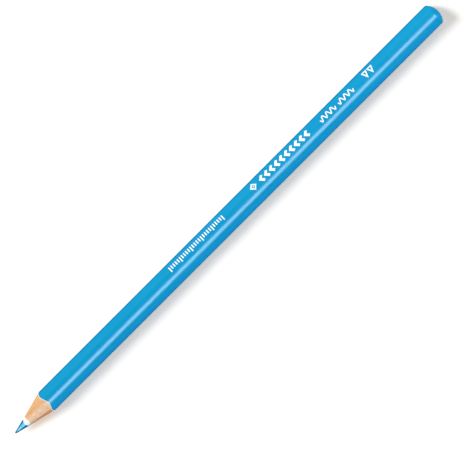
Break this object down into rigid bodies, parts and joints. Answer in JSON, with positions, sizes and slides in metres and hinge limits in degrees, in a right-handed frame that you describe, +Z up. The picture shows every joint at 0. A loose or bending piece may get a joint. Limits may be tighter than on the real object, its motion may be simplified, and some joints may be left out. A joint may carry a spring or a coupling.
{
  "type": "coloured pencil",
  "caption": "Sharpened triangular coloured pencil: grooved wood halves glued round a waxy pigment core, blue lacquer and a domed end.",
  "frame": {"origin": "under the middle of the pencil's length, on the surface that it lies on", "axes": "+X along the pencil towards its point; +Z up, from the flat that it lies on towards the rounded ridge above; the printed side faces -Y"},
  "size_m": [0.175, 0.0072, 0.0069],
  "materials": {
    "blue_lacquer": "glossy lacquer",
    "white_primer": "matt primer",
    "light_wood": "freshly cut, fine grained",
    "wood_glue": "dried glue",
    "blue_wax_core": "waxy, slightly glossy",
    "white_core_coat": "chalky coating",
    "white_print": "stamped foil"
  },
  "bodies": {
    "root": {"upper_slat": "light_wood", "lower_slat": "light_wood", "glue_film_front": "wood_glue", "glue_film_back": "wood_glue", "pigment_core": "blue_wax_core", "core_coat": "white_core_coat", "primer_coat": "white_primer", "colour_coat": "blue_lacquer", "end_cap": "blue_lacquer", "print_small_row": "white_print", "print_emblem": "white_print", "print_bold_row": "white_print", "print_light_row": "white_print", "print_end_pair": "white_print"}
  },
  "joints": []
}
